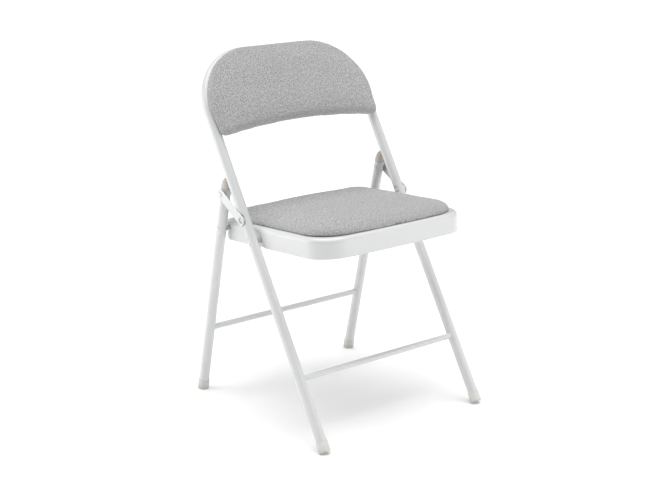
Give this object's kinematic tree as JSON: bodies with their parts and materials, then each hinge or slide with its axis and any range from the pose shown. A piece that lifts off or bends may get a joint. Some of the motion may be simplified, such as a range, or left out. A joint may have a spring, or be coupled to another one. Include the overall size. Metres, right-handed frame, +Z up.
{
  "type": "folding chair",
  "caption": "Folding chair with a bent steel tube frame, padded seat in a pressed steel pan and a padded backrest inside the arch of the tube.",
  "frame": {"origin": "middle of the bounding box at floor level", "axes": "+Z up, -Y the way the sitter faces, +X the sitter's left"},
  "size_m": [0.4574, 0.4888, 0.7749],
  "materials": {
    "white_powder_coat": "gloss",
    "zinc_screws": "satin",
    "foot_plastic": "satin",
    "cap_plastic": "satin",
    "spacer_plastic": "satin",
    "grey_cloth": "melange weave",
    "backing_cloth": "matte",
    "plywood": "raw"
  },
  "bodies": {
    "front_frame": {"front_tube": "white_powder_coat", "front_crossbar": "white_powder_coat", "backrest_board": "plywood", "backrest_cushion": "grey_cloth", "backrest_dust_cover": "backing_cloth", "backrest_screw_1": "zinc_screws", "backrest_screw_2": "zinc_screws", "backrest_screw_3": "zinc_screws", "backrest_screw_4": "zinc_screws", "front_foot_cap_left": "foot_plastic", "front_foot_cap_right": "foot_plastic", "link_rivet_left": "white_powder_coat", "link_rivet_right": "white_powder_coat", "seat_rivet_left": "white_powder_coat", "seat_rivet_right": "white_powder_coat"},
    "seat": {"seat_pan": "white_powder_coat", "seat_stiffener": "white_powder_coat", "seat_board": "plywood", "seat_cushion": "grey_cloth", "seat_screw_1": "zinc_screws", "seat_screw_2": "zinc_screws", "seat_screw_3": "zinc_screws", "seat_screw_4": "zinc_screws", "front_spacer_left": "spacer_plastic", "front_spacer_right": "spacer_plastic", "rear_spacer_left": "spacer_plastic", "rear_spacer_right": "spacer_plastic"},
    "rear_legs": {"rear_leg_left": "white_powder_coat", "rear_leg_right": "white_powder_coat", "rear_crossbar": "white_powder_coat", "rear_foot_cap_left": "foot_plastic", "rear_foot_cap_right": "foot_plastic", "rear_top_cap_left": "cap_plastic", "rear_top_cap_right": "cap_plastic", "leg_rivet_left": "white_powder_coat", "leg_rivet_right": "white_powder_coat", "link_stub_left": "white_powder_coat", "link_stub_right": "white_powder_coat"},
    "link_left": {"link_left": "white_powder_coat", "link_button_left": "white_powder_coat"},
    "link_right": {"link_right": "white_powder_coat", "link_button_right": "white_powder_coat"}
  },
  "joints": [
    {"name": "seat_fold", "type": "hinge", "parent": "front_frame", "child": "seat", "pos_m": [0, 0.00854, 0.39505], "axis": [-1, 0, 0], "range_deg": [0, 110.76]},
    {"name": "rear_leg_fold", "type": "hinge", "parent": "seat", "child": "rear_legs", "pos_m": [0, 0.127, 0.39729], "axis": [1, 0, 0], "range_deg": [0, 65.9]},
    {"name": "link_fold_left", "type": "hinge", "parent": "front_frame", "child": "link_left", "pos_m": [0, 0.03454, 0.43687], "axis": [-1, 0, 0], "range_deg": [0, 134.7]},
    {"name": "link_fold_right", "type": "hinge", "parent": "front_frame", "child": "link_right", "pos_m": [0, 0.03454, 0.43687], "axis": [-1, 0, 0], "range_deg": [0, 134.7]}
  ],
  "couplings": [
    {"joint": "rear_leg_fold", "follows": "seat_fold", "ratio": 0.59474},
    {"joint": "link_fold_left", "follows": "seat_fold", "ratio": 1.2152},
    {"joint": "link_fold_right", "follows": "seat_fold", "ratio": 1.2152}
  ]
}
